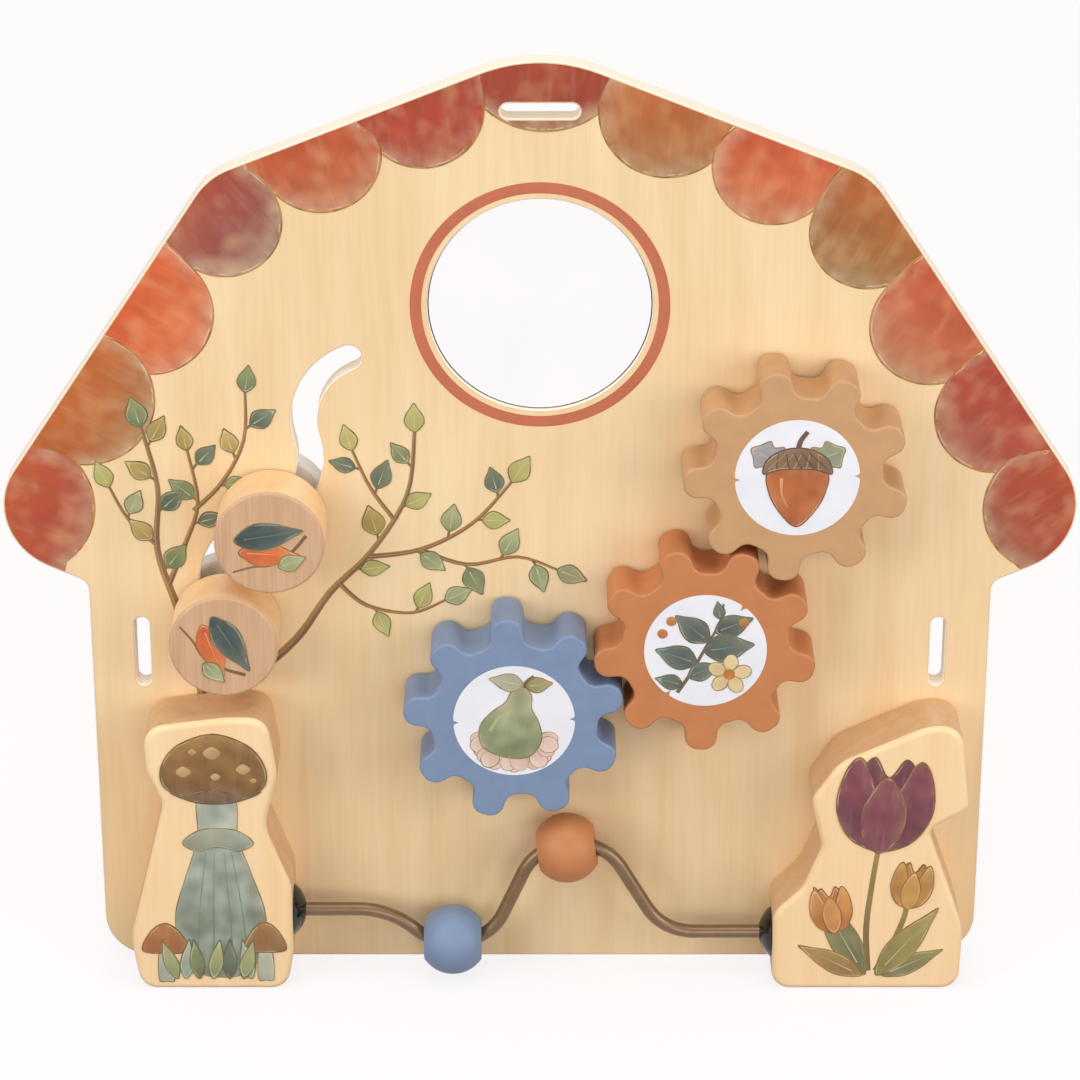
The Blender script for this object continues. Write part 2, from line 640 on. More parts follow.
def make_hard_finishes(wood, wire):
    """Make the solid wood, metal, plastic and mirror finishes."""
    # Solid lime wood, sanded and matt lacquered: warm, almost without pores, with faint straight grain.
    wood_finish("lime_wood_matt_lacquered", wood.wood, wood.wood_dark, 0.9, 11, 0.5, 0.3)
    # The blocks' planed fronts have one more coat, so they are paler and their grain shows less.
    wood_finish("lime_wood_planed_face", srgb("ffe0b2"), srgb("f8cf9a"), 0.9, 11, 0.45, 0.25)
    # The blocks' sawn sides drink more lacquer than their faces, so they look a little darker and redder.
    wood_finish("lime_wood_sanded_edge", srgb("dfb98d"), srgb("d0a172"), 0.9, 8, 0.55, 0.3)
    # The same wood under a thin rosy beige wash on the sliders' fronts.
    wood_finish("lime_wood_beige_wash", wood.disc_face, srgb("c89b74"), 1.0, 6, 0.5, 0.5)
    # Thin white wash on the sliders' rear discs: the grain only just shows.
    wood_finish("lime_wood_white_wash", srgb("faf4f0"), srgb("f0e6de"), 1.0, 6, 0.55, 0.3)
    # Plain sanded dowel for the pegs inside, without lacquer: a little duller and browner than the lime wood.
    wood_finish("beech_dowel_sanded", srgb("e3bb8a"), srgb("cf9f6c"), 0.6, 5, 0.55)
    # Back-coated acrylic mirror, polished face.
    soft_finish("acrylic_mirror_polished", 0.02, srgb("fbfbfc"), srgb("f6f7f9"), (30, 30), Metallic=1.0)
    # The mirror's sawn rim shows its dark back coating.
    soft_finish("acrylic_mirror_sawn_rim", 0.4, srgb("5a6066"), srgb("7b8186"), (0.4, 2))
    # Bronze lacquer dipped on steel wire: brown, with a soft sheen and slightly uneven tone.
    soft_finish("bronze_lacquer_dipped", 0.32, wire.lacquer, darker(wire.lacquer, 0.82), (6, 6, 3),
                Metallic=0.35, Coat_Weight=0.3, Coat_Roughness=0.2)
    # Black ABS, moulded in a polished tool: deep gloss.
    soft_finish("black_abs_gloss_moulded", 0.12, srgb("0c0c0d"), srgb("161617"), (5, 5))
    # Zinc-plated steel screws: grey metal with a faint yellow cast and a slightly uneven coat.
    soft_finish("zinc_plated_steel", 0.32, srgb("c9c6bd"), srgb("b3b1aa"), (1.5, 1.5), Metallic=1.0)
    # Stamped natural nylon washers: milky and waxy.
    soft_finish("natural_nylon_stamped", 0.4, srgb("ebe8dc"), srgb("dfdccf"), (3, 3), Subsurface_Weight=0.15)
    # White adhesive foam: open, dull cells about 0.3 mm across.
    tree, shader = new_finish("white_foam_tape", 0.9)
    cells = figure(tree, 0.3, 0.3, low=0, high=1)
    coat(tree, shader, srgb("e8e8e4"), [(cells, srgb("cfcfca"))], cells, 0.05 * MM)


# Painted patches

PAINT_STEP = 0.06 * MM  # how far a layer of paint stands proud of the one below, thick enough to render
PAINT_BITE = 0.03 * MM  # how far a layer reaches into what is below it
RIM_INSET = 0.6 * MM  # how far inside its outline a patch has a second row of points, for an even ink line
CLOUD = 5 * MM  # size of the clouds that shift a patch's tone
NO_INK = 9 * MM  # a rim distance that lies past every ink line
MOTIF_DEPTH = 8.2 * PAINT_STEP  # how far a block's front stays behind its box, to leave room for its motif

# Leaf tones, from a leaf's base to its tip
SAGE = ("8c9668", "b4b884")
OLIVE = ("aaa45a", "cbc67c")
SLATE = ("4a5a4c", "728068")
FERN = ("66744e", "8f9a68")
OCHRE = ("a08a44", "c2a860")


def distances(points, path, closed):
    """Return each point's distance to a path."""
    start = np.array(path if closed else path[:-1])
    end = np.array(path[1:] + path[:1] if closed else path[1:])
    run = end - start
    lengths = np.maximum((run ** 2).sum(1), 1e-16)
    offset = points[:, None] - start[None]
    share = np.clip((offset * run).sum(2) / lengths, 0, 1)
    return np.sqrt(((offset - share[..., None] * run) ** 2).sum(2)).min(1)


def enclosed(points, outline):
    """Return which points lie inside an outline."""
    x, z = points[:, 0][:, None], points[:, 1][:, None]
    start = np.array(outline)
    end = np.roll(start, -1, 0)
    spans = (start[:, 1] > z) != (end[:, 1] > z)
    rise = np.where(end[:, 1] == start[:, 1], 1e-12, end[:, 1] - start[:, 1])
    crossing = (z - start[:, 1]) * (end[:, 0] - start[:, 0]) / rise + start[:, 0]
    return (spans & (x < crossing)).sum(1) % 2 == 1


def filled(outline, holes, spacing):
    """Fill an outline over a grid of points, and return the points and each triangle's point numbers."""
    low, high = np.min(outline, 0), np.max(outline, 0)
    grid = [(x, z) for x in np.arange(low[0], high[0], spacing) for z in np.arange(low[1], high[1], spacing)]
    corners, edges = list(outline), []
    for hole in holes:
        first, count = len(corners), len(hole)
        edges += [(first + i, first + (i + 1) % count) for i in range(count)]
        corners += hole
    for candidates, clear in ((grown(outline, -RIM_INSET), 0.4 * MM), (grid, 0.8 * MM)):
        candidates = np.array(candidates)
        good = enclosed(candidates, outline)
        for loop in (outline, *holes):
            good &= distances(candidates, loop, True) > clear
        for hole in holes:
            good &= ~enclosed(candidates, hole)
        corners += [tuple(p) for p in candidates[good]]
    face = list(range(len(outline)))
    spots, _, faces, *_ = delaunay_2d_cdt([Vector(p) for p in corners], edges, [face], 1, 1e-8)
    where = np.array([tuple(p) for p in spots])
    centers = np.array([where[list(f)].mean(0) for f in faces])
    solid = np.ones(len(faces), bool)
    for hole in holes:
        solid &= ~enclosed(centers, hole)
    return where, [f for f, keep in zip(faces, solid) if keep]


class PaintLayer:
    """Painted patches in one thin piece, whose points keep their paint, ink, rim distance and brush flow."""

    def __init__(self, y, center=(0, 0), growth=1.0):
        self.y = y
        self.center = center
        self.growth = growth
        self.shape = bmesh.new()
        layers = self.shape.verts.layers
        self.paint = layers.float_color.new("paint")
        self.ink = layers.float_color.new("ink")
        self.rim = layers.float.new("rim")
        self.flow = layers.float_vector.new("flow")
        self.count = 0

    def patch(self, outline, tones, ink, layer, spacing=1.2, direction=90, rim=None, holes=(), plain=False,
              blotch=0.1, wash=0.25, fine=1.5):
        """Add a patch. Tones run along direction; rim is the part of its outline that has an ink line."""
        cx, cz = self.center
        growth = self.growth
        outline = tidy_outline([(cx + (x - cx) * growth, cz + (z - cz) * growth) for x, z in outline])
        where, faces = filled(outline, holes, spacing * MM)
        rims = distances(where, outline, True) if rim is None else distances(where, rim, False)
        rims = (rims + NO_INK * plain) * fine
        along = np.array((cos(radians(direction)), sin(radians(direction))))
        ups, sides = where @ along, where @ np.array((along[1], -along[0]))
        shares = (ups - ups.min()) / max(np.ptp(ups), 1e-9)
        stops = np.array([srgb(tone) for tone in tones])
        places = np.linspace(0, 1, len(stops))
        self.count += 1
        front = self.y - (layer + self.count % 9 / 10) * PAINT_STEP
        made = []
        for i, (x, z) in enumerate(where):
            vertex = self.shape.verts.new((x, front, z))
            swing = blotch * noise.noise(Vector((x / CLOUD, self.count * 7.3, z / CLOUD)))
            place = min(max(shares[i] + 1.6 * swing, 0), 1)
            colour = [np.interp(place, places, stops[:, k]) * (1 + swing) for k in range(3)]
            vertex[self.paint] = (*colour, wash)
            vertex[self.ink] = srgb(ink)
            vertex[self.rim] = rims[i]
            vertex[self.flow] = (sides[i], ups[i], self.count * 11 * MM)
            made.append(vertex)
        fronts = [self.shape.faces.new([made[k] for k in f]) for f in faces]
        rear = {}
        for vertex in made:
            if vertex.link_faces:
                rear[vertex] = self.shape.verts.new((vertex.co.x, self.y + PAINT_BITE, vertex.co.z), vertex)
            else:
                self.shape.verts.remove(vertex)
        # The back and the rim are made face by face, so that their order is the same in each run.
        for face in fronts:
            self.shape.faces.new([rear[vertex] for vertex in reversed(face.verts[:])])
            for loop in face.loops:
                if loop.edge.is_boundary:
                    start, end = loop.vert, loop.link_loop_next.vert
                    self.shape.faces.new((end, start, rear[start], rear[end]))

    def spot(self, x, z, turn=0):
        """Return a place that is given in millimetres from the layer's centre."""
        return at(self.center, [(x, z)], turn)[0]

    def form(self, points, tones, ink, layer, turn=0, around=(0, 0), direction=90, steps=6, **more):
        """Add a smooth closed patch through points in millimetres, turned and moved to a place."""
        outline = smooth_path(at(self.spot(*around), points, turn), True, steps)
        self.patch(outline, tones, ink, layer, direction=direction + turn, **more)

    def stroke(self, points, widths, tones, layer, turn=0, steps=5):
        """Add a smooth brush stroke through points in millimetres."""
        self.ribbon(smooth_path(at(self.center, points, turn), steps=steps), widths, tones, layer)

    def ribbon(self, path, widths, tones, layer=1):
        """Add a painted line along a path, whose width runs from the first to the second value."""
        spots = [Vector(p) for p in path]
        left, right = [], []
        for i, spot in enumerate(spots):
            ahead = spots[min(i + 1, len(spots) - 1)] - spots[max(i - 1, 0)]
            ahead.normalize()
            half = (widths[0] + (widths[1] - widths[0]) * i / (len(spots) - 1)) * MM / 2
            left.append((spot.x - ahead.y * half, spot.y + ahead.x * half))
            right.append((spot.x + ahead.y * half, spot.y - ahead.x * half))
        run = spots[-1] - spots[0]
        self.patch(left + right[::-1], tones, "8a6238", layer, 4.0, degrees(atan2(run.y, run.x)), plain=True)

    def leaf(self, base, angle, length, width, tones, ink="75744c", layer=1, vein="cfd0a0"):
        """Add a pointed leaf with a pale midrib; base is in metres, length and width in millimetres."""
        along = Vector((cos(radians(angle)), sin(radians(angle))))
        across = Vector((-along.y, along.x))
        sides = ((0.0, 0.0), (0.1, 0.26), (0.32, 0.5), (0.58, 0.44), (0.82, 0.2), (1.0, 0.0))
        outline = smooth_path([*sides, *[(u, -v) for u, v in sides[-2:0:-1]]], True, 4)
        points = [Vector(base) + along * u * length * MM + across * v * width * MM for u, v in outline]
        self.patch([tuple(p) for p in points], tones, ink, layer, direction=angle)
        if vein:
            rib = [Vector(base) + along * length * MM * u for u in (0.15, 0.45, 0.78)]
            self.ribbon([tuple(p) for p in rib], (0.4, 0.15), (vein, tones[-1]), layer + 1)

    def finish(self, name, body):
        """Turn the patches into a piece."""
        add_piece(name, self.shape, ["gouache_matt_lacquered"], body, sharp=30)


def at(center, points, turn=0):
    """Move points in millimetres, turned by an angle in degrees, to a centre in metres."""
    c, s = cos(radians(turn)), sin(radians(turn))
    return [(center[0] + (x * c - z * s) * MM, center[1] + (x * s + z * c) * MM) for x, z in points]


def roof_tile(layer, number, roof_edge, slot):
    """Paint one roof tile, with a hole where the strap slot lies."""
    marks, cusps, tips = (in_metres(points) for points in (ROOF_MARKS, ROOF_CUSPS, ROOF_TIPS))
    tile_count = len(tips)
    middle = tile_count // 2

    def shared_line(i):
        """Return the line between two tiles from the roof's edge to the cusp, in the lower tile's curve."""
        if i in (0, tile_count):
            return [marks[i]]
        owner = i - 1 if i <= middle else i
        far = cusps[owner] if i <= middle else cusps[owner + 1]
        round_end = three_point_arc(cusps[i], tips[owner], far)
        leave = (Vector(round_end[0]) - Vector(round_end[1])).normalized()
        start, end = Vector(cusps[i]), Vector(marks[i])
        control = start + leave * (end - start).length * 0.5
        return [tuple(start * (1 - t) ** 2 + 2 * control * t * (1 - t) + end * t * t)
                for t in (1, 0.8, 0.6, 0.4, 0.2, 0)]

    first, second = shared_line(number), shared_line(number + 1)
    round_end = three_point_arc(cusps[number], tips[number], cusps[number + 1])
    inner = first[:-1] + round_end + second[::-1][1:]
    # Only the lower side of a tile is inked, because the next tile laps over the other side
    rim = (first[:-1] if number > middle else []) + round_end + (second[::-1][1:] if number < middle else [])
    near = [min(range(len(roof_edge)), key=lambda k: (Vector(roof_edge[k]) - Vector(inner[end])).length)
            for end in (0, -1)]
    if near[1] >= near[0]:
        near.reverse()
        inner.reverse()
    step = roof_edge[near[1]:near[0] + 1]
    end = Vector(inner[-1])
    if (end - Vector(step[0])).length > (end - Vector(step[-1])).length:
        step.reverse()
    aim = Vector(tips[number]) - (Vector(marks[number]) + Vector(marks[number + 1])) / 2
    layer.patch(inner[:-1] + step, ROOF_TONES[number], "b98a3e", 1, 1.4, degrees(atan2(aim.y, aim.x)), rim,
                [slot] if number == middle else [], blotch=0.14, wash=1.0, fine=1.0)


def dense(outline, step):
    """Return an outline with points no further apart than a step."""
    points = []
    for (ax, az), (bx, bz) in zip(outline, outline[1:] + outline[:1]):
        count = max(1, ceil(hypot(bx - ax, bz - az) / step))
        points += [(ax + (bx - ax) * i / count, az + (bz - az) * i / count) for i in range(count)]
    return points


def paint_sprig(layer, path, leaves, rng, width):
    """Paint a branch with leaves; each leaf is (share of the path, angle to it, tones)."""
    spots = smooth_path(in_metres(path), steps=5)
    # An ochre edge, the dark wood and a thin light line, each on top of the one before
    for shift, start, end, tones, level in ((0, 1, 1, ("b5843e", "c4923f"), 1),
                                            (0.1, 0.66, 0.55, ("7a5c42", "8a6a48"), 2),
                                            (-0.1, 0.2, 0.2, ("a98a66", "a98a66"), 3)):
        shifted = [(x + shift * MM * width[0], z) for x, z in spots]
        layer.ribbon(shifted, (width[0] * start, width[1] * end), tones, level)
    for share, lean, tones in leaves:
        place = share * (len(spots) - 1)
        i = min(int(place), len(spots) - 2)
        here = Vector(spots[i]).lerp(Vector(spots[i + 1]), place - i)
        ahead = Vector(spots[i + 1]) - Vector(spots[i])
        heading = degrees(atan2(ahead.y, ahead.x)) + lean
        stalk = Vector(polar((0, 0), rng.uniform(1.6, 2.8) * MM, heading))
        if abs(lean) > 5:
            layer.ribbon([tuple(here), tuple(here + stalk * 0.5), tuple(here + stalk * 1.3)], (1.2, 0.8),
                         ("8a6a3f", "94703f"))
            here = here + stalk
        length = rng.uniform(9.8, 12.0)
        turn = heading + rng.uniform(-8, 8)
        layer.leaf(tuple(here), turn, length, length * rng.uniform(0.6, 0.7), tones, layer=4)


# Motifs, in millimetres around the middle of a gear or slider, or from a foot block's lower left corner

def acorn(layer):
    """Paint an acorn between two oak leaves."""
    lobes = ((0, 0), (2.5, 3.2), (5, 2.6), (7, 5), (9.5, 3.6), (11.5, 4.8), (13.5, 2.4), (15.5, 0))
    oak = lobes + tuple((x, -z) for x, z in lobes[-2:0:-1])
    for turn, tones in ((152, ("8d8b96", "a9a7ae")), (28, ("7c8a70", "a0a88a"))):
        layer.form(oak, tones, "9a7a4a", 1, turn, (0, 2), 0, 5)
        rib = at(layer.spot(0, 2), [(1, 0), (7.5, 0.4), (13, 0)], turn)
        layer.ribbon(rib, (0.5, 0.25), ("c9c6b0", "c9c6b0"), 2)
    nut = [(-8.6, 2), (-8.2, -5), (-4.6, -11.5), (0, -15.5), (4.6, -11.5), (8.2, -5), (8.6, 2), (0, 4)]
    layer.form(nut, ("a8552c", "c27038", "b0602f"), "7d4a26", 3, blotch=0.2)
    layer.stroke([(-4.6, 0), (-4.4, -5), (-2.6, -9)], (1.0, 0.4), ("e5a873", "d98e55"), 4)
    cup = [(-10, 1.2), (-8.8, 6), (-3.4, 9.2), (3.4, 9.2), (8.8, 6), (10, 1.2), (4.6, 2.6), (-4.6, 2.6)]
    layer.form(cup, ("6e5140", "8d6c50"), "5d4434", 4)
    for i in range(-2, 3):
        for lean, tone in ((-1.2, "a98a66"), (1.2, "4e3a2d")):
            scale = [(i * 3.6 + lean, 2.9), (i * 3.0, 5.4), (i * 2.2 - lean, 8.0)]
            layer.ribbon(at(layer.center, scale), (0.35, 0.3), (tone, tone), 5)
    layer.stroke([(0, 8.5), (0.6, 11.5), (2.6, 14.5)], (1.6, 1.2), ("6e5140", "5d4434"), 4, steps=4)


def flower_sprig(layer):
    """Paint a dark sprig with one pale flower and ochre buds."""
    layer.stroke([(-8, -13.5), (-4, -7), (0, 1), (4, 9), (5, 15)], (1.2, 0.6), ("6d5a3c", "7e6c46"), 1)
    for x, z, turn, length in ((-6.4, -11, 165, 8.5), (-5, -8.5, 25, 10), (-2.4, -4, 160, 13),
                               (-0.6, 0, 8, 15), (1.0, 3, 140, 13), (2.6, 6, 22, 12), (4.2, 10, 100, 6)):
        tones = ("3f504c", "56655f", "6c7b74")
        layer.leaf(layer.spot(x, z), turn, length, length * 0.6, tones, "6f6f4c", 2, "8c988c")
    petal = [(0.6, 0), (3.2, 2.2), (5.8, 1.6), (6.6, 0), (5.8, -1.6), (3.2, -2.2)]
    for k in range(5):
        layer.form(petal, ("dfc288", "ecd9ac"), "a98a4a", 4, 72 * k + 12, (7, -7.5), 0, 4)
    layer.patch(circle(layer.spot(7, -7.5), 1.7 * MM, 20), ("c98a3a", "b5722c"), "8a5a2a", 6, plain=True)
    for x, z in ((-12.5, 5.5), (-10, 9.5), (11, 9)):
        layer.patch(circle(layer.spot(x, z), 1.5 * MM, 20), ("b96f34", "cf9650"), "8a5a2a", 3, plain=True)


def pear(layer):
    """Paint a sage pear over pink blossom."""
    petal = [(-1, 0), (1.5, 2.8), (4.6, 2.4), (6, 0), (4.6, -2.4), (1.5, -2.8)]
    for x, z, turn in ((-8, -7.5, 195), (-6, -11, 235), (0, -12, 270), (6, -11, 305), (8, -7.5, 345)):
        for lean in (-34, 34, 0):
            layer.form(petal, ("e0bfae", "eed8cc"), "c29c84", 1, turn + lean, (x, z), -lean, 4)
    lean = -14
    fruit = [(0, -13), (-7.5, -11), (-10, -4.5), (-7.6, 1.5), (-4.4, 5.5), (-3.2, 10), (0, 12.4), (3.2, 10),
             (4.4, 5.5), (7.6, 1.5), (10, -4.5), (7.5, -11)]
    layer.form(fruit, ("7f8c68", "9aa37c", "b3b48e"), "8a7f4a", 3, lean, blotch=0.2)
    layer.stroke([(-6.4, -5), (-5.2, -0.5), (-2.0, 4.5)], (1.3, 0.4), ("b9bf96", "b3b98c"), 4, lean)
    layer.stroke([(0, 12), (0.8, 14.5), (2.2, 16.5)], (1.4, 0.9), ("6f5a3e", "7d6644"), 4, lean, 4)
    layer.leaf(layer.spot(3.6, 12), 8, 8.5, 5.4, ("8a8a58", "b0aa70"), "9a7a3a", 5)
    layer.leaf(layer.spot(3, 12.4), 168, 11, 6.2, ("a9a48c", "c4bfa8"), "9a8a6a", 5)


def crossed_leaves(layer, turn):
    """Paint a dark leaf and an orange leaf that cross on a twig."""
    layer.stroke([(-13, -11), (-6, -9), (1, -8), (8, -3), (13, 3)], (0.7, 1.3), ("8a6a48", "6e5238"), 1, turn)
    for x, z, lean, length, width, tones, ink, level, vein in (
        (-11, -3.5, -3, 22, 9.5, ("c9542a", "dd6e38", "e08c54"), "b5803c", 2, "eab27a"),
        (-12.5, 1, 9, 25, 10.5, ("2c3c3e", "3c5050", "56695f"), "8f8a58", 4, "6f8580"),
        (3, -9, 22, 10.5, 6.5, ("94a070", "b3ba8c"), "7f8450", 6, "cfd0a0"),
    ):
        layer.leaf(layer.spot(x, z, turn), turn + lean, length, width, tones, ink, level, vein)


def mushrooms(layer):
    """Paint a stout mushroom with two small ones and grass."""
    stem = [(22, 8), (17, 20), (16, 32), (20.5, 48), (25, 63), (26, 80), (39, 80), (40, 63), (44.5, 48),
            (49, 32), (48, 20), (43, 8), (32.5, 5)]
    layer.form(stem, ("7c8674", "9caa9c", "bcc4b2"), "9a8a5a", 2, spacing=1.4, blotch=0.2)
    for dx in (-9, -3, 4, 9.5):
        crease = [(32.5 + dx, 14), (32.5 + dx * 0.8, 36), (32.5 + dx * 0.5, 57)]
        layer.stroke(crease, (0.5, 0.3), ("748070", "98a18e"), 3)
    collar = [(19.5, 61), (25, 66), (32.5, 67.2), (40, 66), (45.5, 61), (40, 57.5), (32.5, 59.2), (25, 57.5)]
    layer.form(collar, ("8a9480", "b4bca8"), "9a8a5a", 4, spacing=1.4)
    gills = [(16, 82.5), (23, 78), (32, 76.8), (41, 78), (48.5, 82.5), (32, 86)]
    layer.form(gills, ("6b543c", "83694c"), "5f4a38", 5, spacing=1.4)
    cap = [(13.6, 84), (13, 92), (19, 100.5), (32, 105.2), (44.5, 100.5), (50.4, 92), (50, 84), (43, 80),
           (32, 82.2), (21, 80)]
    layer.form(cap, ("77542f", "8d6638", "a57c48"), "8a6a3a", 6, spacing=1.4, blotch=0.2)
    for x, z, r in ((21, 90, 2.7), (31.5, 97.5, 3.2), (42.5, 91, 2.6), (32.5, 88, 1.8), (24.5, 98, 1.5),
                    (46, 86.5, 1.2)):
        dot = [(x - r, z), (x, z + 0.8 * r), (x + r, z), (x, z - 0.8 * r)]
        layer.form(dot, ("b8925c", "d0b080"), "a3824e", 7, plain=True)
    for x, z, w, tones in ((12, 4.5, 8.6, ("a0633a", "b87a4a")), (48.4, 5, 7.8, ("8c6238", "a87c4c"))):
        stalk = [(x - 3, z), (x - 2.2, z + 13), (x + 2.2, z + 13), (x + 3, z), (x, z - 1)]
        layer.form(stalk, ("a3ac9a", "c5cab8"), "9a8a5a", 4, steps=5)
        hood = [(x - w, z + 12), (x - w * 0.62, z + 20), (x, z + 23.5), (x + w * 0.62, z + 20),
                (x + w, z + 12), (x, z + 10.6)]
        layer.form(hood, tones, "8a6a3a", 5)
    frost = ("8ea394", "b3bfa8")
    for x, lean, tones in ((16, 108, SAGE), (19, 84, frost), (24, 96, FERN), (43, 100, frost), (40, 76, SAGE),
                           (35, 88, SLATE), (29, 80, SAGE)):
        layer.leaf(layer.spot(x, 4.5), lean, 17, 5.4, tones, layer=6, vein=None)


def tulips(layer):
    """Paint three tulips that grow from broad leaves."""
    for path, tone in (([(35, 8), (34, 26), (35.5, 44), (37.5, 60)], "7d6a44"),
                       ([(38, 8), (44, 20), (47.5, 30), (48.5, 36)], "8a7448"),
                       ([(33, 8), (28, 15), (24, 21), (22.6, 26)], "8a7448")):
        layer.stroke(path, (2.4, 1.8), (tone, "9a8450"), 1)
    for x, turn, length, width, tones in (
        (34, 118, 42, 11, ("6a6c46", "8c8c5c")), (38, 52, 36, 10.5, ("8a8048", "a99c5c")),
        (33, 152, 27, 8.5, ("94733c", "b28f54")), (40, 26, 25, 8, ("6f7048", "94915e")),
    ):
        layer.leaf(layer.spot(x, 6), turn, length, width, tones, "9a7a3a", 2)
    # Petals as shares of a bloom's width and height: those at the back, one at each side, and the front one
    back = [(-0.42, 0.5), (-0.3, 0.86), (-0.16, 1.0), (0, 0.8), (0.16, 1.0), (0.3, 0.86), (0.42, 0.5),
            (0, 0.2)]
    petal = [(0.02, 0), (-0.34, 0.12), (-0.52, 0.45), (-0.46, 0.84), (-0.3, 0.98), (-0.1, 0.62), (0.1, 0.25)]
    front = [(0, -0.02), (-0.2, 0.16), (-0.22, 0.5), (0, 0.8), (0.22, 0.5), (0.2, 0.16)]
    for x, z, turn, height, width, tones in (
        (37.5, 57.5, -5, 38, 34, ("5f2f3a", "74394a", "8a4a50")),
        (48.5, 34, -9, 19, 15, ("a87030", "c08a42", "cda058")),
        (22.5, 24, 9, 19, 15, ("b8702e", "c98440", "d29a58")),
    ):
        for side, shares, shades, ink, level, blotch in (
            (1, back, tones[::-1], "8a5a3a", 4, 0.1), (-1, petal, tones, "a8783a", 5, 0.2),
            (1, petal, tones, "a8783a", 5, 0.2), (1, front, tones[1:], "a8783a", 6, 0.2),
        ):
            points = [(side * u * width, v * height) for u, v in shares]
            layer.form(points, shades, ink, level, turn, (x, z), spacing=1.3, blotch=blotch)


# Operators

class MakeFinishes(bpy.types.Operator):
    """Make all the finishes."""

    bl_idname = "activity_panel.finishes"
    bl_label = "Finishes"

    def execute(self, context):
        look = context.scene.activity_panel
        make_board_finishes(look.board)
        make_paint_finishes(look.gears)
        make_gouache()
        make_hard_finishes(look.wood, look.wire)
        inner = {"nylon": "natural_nylon_stamped", "foam": "white_foam_tape"}
        slots = {part["node"]: part["material_slot"] for part in frame["record"]["subparts"]}
        for name, item in frame["nodes"].items():
            for slot in item.material_slots:
                slot.material = bpy.data.materials[inner.get(slots[name], "beech_dowel_sanded")]
        return {"FINISHED"}


class MakeBoard(bpy.types.Operator):
    """Make the plywood board."""

    bl_idname = "activity_panel.board"
    bl_label = "Board"

    def execute(self, context):
        look = context.scene.activity_panel.board
        seat_round, peg_play = 0.4 * MM, 0.4 * MM
        sink_width, sink_depth = 2.25 * MM, 2.7 * MM
        low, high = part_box("house_board")
        through = round_rims(1, look.edge, low.y, high.y)
        walls = [(house_outline(), round_rims(-1, look.edge, low.y, high.y), "through")]
        walls += [(slot_outline(look, *place), through, "through") for place in STRAP_SLOTS]
        walls.append((track_outline(look.track_width / 2), through, "through"))
        radius, _, mirror_back = round_size("mirror")
        _, pad_front, pad_back = round_size("mirror_adhesive_pad")
        fit = pad_front - mirror_back
        seat = round_rims(1, seat_round, low.y, high.y)[:5] + [(0, pad_back + fit)]
        walls.append((circle(middle_of("mirror").xz, radius + fit), seat, "front"))
        for label in GEARS:
            radius, _, _ = round_size("gear_" + label + "_peg")
            place = joint_places["gear_" + label + "_spin"]
            walls.append((circle(place.xz, radius + peg_play, 10), [(0, low.y), (0, high.y)], "through"))
        for item in SCREWS:
            countersunk = [(0, low.y), (0, high.y - sink_depth), (sink_width, high.y)]
            walls.append((circle(middle_of("foot_screw_" + item).xz, SCREW_HOLE, 15), countersunk, "through"))
        shape = slab(walls)
        mark_walls(shape, 1)
        finishes = ["birch_veneer_matt_lacquered", "birch_plywood_edge_sanded"]
        add_piece("plywood_board", shape, finishes, "panel", ["house_board"])
        return {"FINISHED"}


class PaintRoof(bpy.types.Operator):
    """Paint the roof tiles along the board's upper edge."""

    bl_idname = "activity_panel.roof"
    bl_label = "Roof paint"

    def execute(self, context):
        look = context.scene.activity_panel.board
        low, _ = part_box("house_board")
        layer = PaintLayer(low.y)
        # The paint ends just inside the board's rounded rims
        bare = look.edge + 0.1 * MM
        roof_edge = dense(grown(tidy_outline(house_outline()), -bare), 2 * MM)
        slot = grown(tidy_outline(slot_outline(look, *STRAP_SLOTS[0])), bare)
        for number in range(len(ROOF_TIPS)):
            roof_tile(layer, number, roof_edge, slot)
        layer.finish("roof_tile_paint", "panel")
        return {"FINISHED"}


